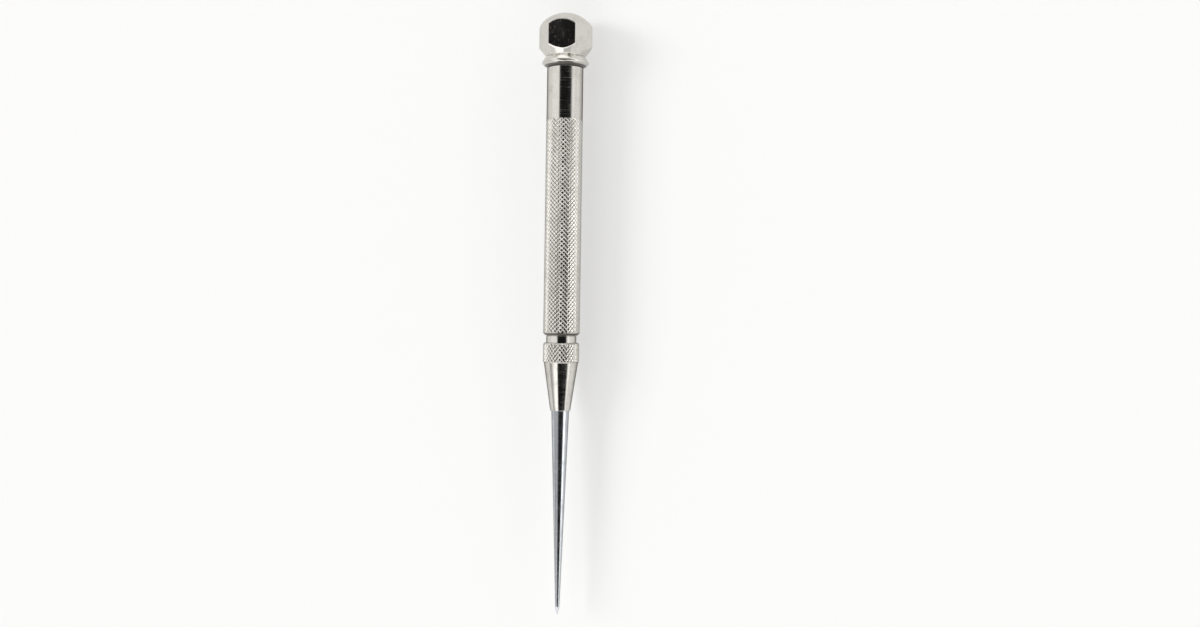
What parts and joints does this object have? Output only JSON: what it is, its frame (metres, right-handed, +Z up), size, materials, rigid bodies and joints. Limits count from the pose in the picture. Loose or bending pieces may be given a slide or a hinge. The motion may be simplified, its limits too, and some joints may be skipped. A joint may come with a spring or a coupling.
{
  "type": "pocket scriber",
  "caption": "Nickel-plated pocket scriber with a hollow knurled handle, domed hexagon head, split-collet chuck and long tapered steel point that slides into the handle.",
  "frame": {"origin": "middle of the tool's length, on the surface that the head's lower flat rests on, under the axis", "axes": "+Y along the tool's axis from the tip to the head, +Z up, +X to the right when the tool is seen from above with its head away"},
  "size_m": [0.0146, 0.1616, 0.0126],
  "materials": {
    "nickel_head": "polished nickel plate on steel",
    "nickel_handle": "nickel plate on knurled steel tube",
    "nickel_body": "nickel plate on steel",
    "collet_steel": "turned spring steel, oiled",
    "nickel_nut": "nickel plate, knurled band and turned cone",
    "point_steel": "ground hardened tool steel"
  },
  "bodies": {
    "handle": {"handle_tube": "nickel_handle", "hex_head": "nickel_head", "chuck_body": "nickel_body"},
    "collet": {"collet": "collet_steel"},
    "chuck_nut": {"chuck_nut": "nickel_nut"},
    "point": {"scriber_point": "point_steel"}
  },
  "joints": [
    {"name": "collet_slide", "type": "slide", "parent": "handle", "child": "collet", "axis": [0, -1, 0], "range_m": [0, 0.00238]},
    {"name": "chuck_nut_turn", "type": "hinge", "parent": "collet", "child": "chuck_nut", "pos_m": [0, -0.0081, 0.0063], "axis": [0, -1, 0], "range_deg": [0, 1080]},
    {"name": "point_slide", "type": "slide", "parent": "handle", "child": "point", "axis": [0, 1, 0], "range_m": [-0.028, 0.054]}
  ],
  "couplings": [
    {"joint": "chuck_nut_turn", "follows": "collet_slide", "rad_per_m": 7915.8}
  ]
}
